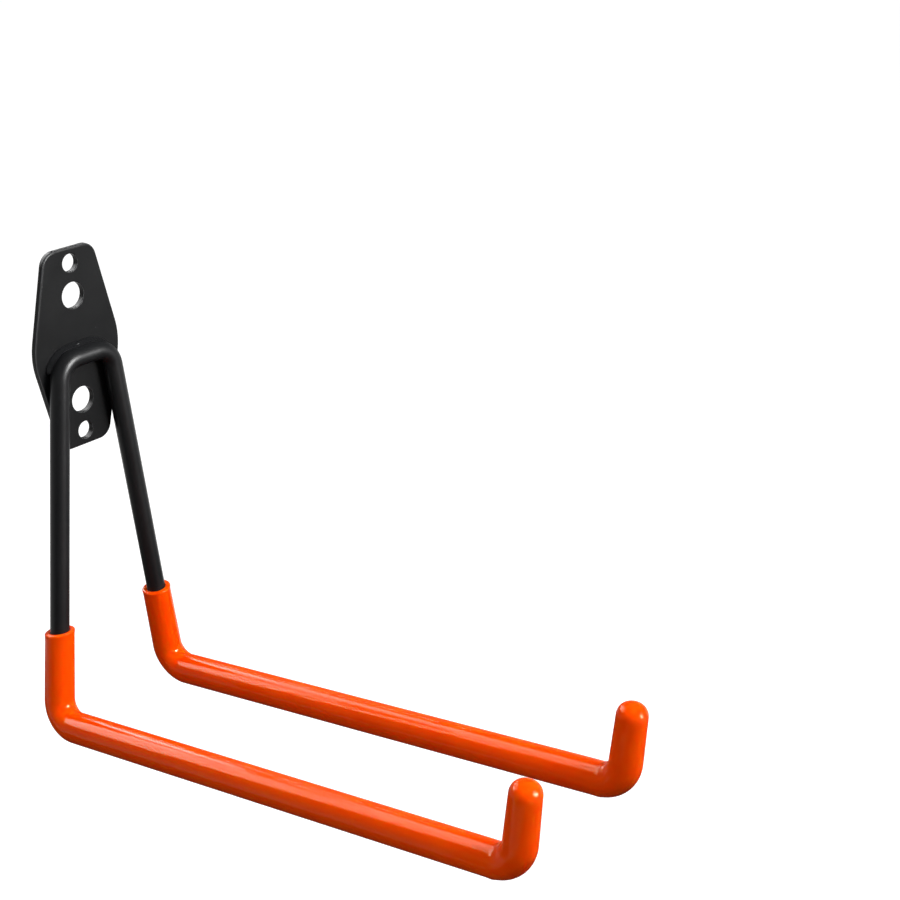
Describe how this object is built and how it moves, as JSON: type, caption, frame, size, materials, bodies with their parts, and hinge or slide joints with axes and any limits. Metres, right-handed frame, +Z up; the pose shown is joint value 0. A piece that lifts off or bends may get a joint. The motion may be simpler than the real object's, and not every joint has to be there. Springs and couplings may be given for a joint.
{
  "type": "garage utility hook",
  "caption": "Wall hook with a holed steel plate and a bent round bar that forms parallel arms in soft plastic sleeves, with upturned tips.",
  "frame": {"origin": "centre of the plate's rear face, which lies on the wall", "axes": "+Y into the wall, +Z up the wall, +X to the right as seen by someone who faces the wall; the arms run along -Y"},
  "size_m": [0.0776, 0.2585, 0.2058],
  "materials": {
    "black_coat": "satin black powder coat",
    "orange_pvc": "glossy soft plastic"
  },
  "bodies": {
    "root": {"back_plate": "black_coat", "hook_bar": "black_coat", "crown_weld": "black_coat", "left_sleeve": "orange_pvc", "right_sleeve": "orange_pvc"}
  },
  "joints": []
}
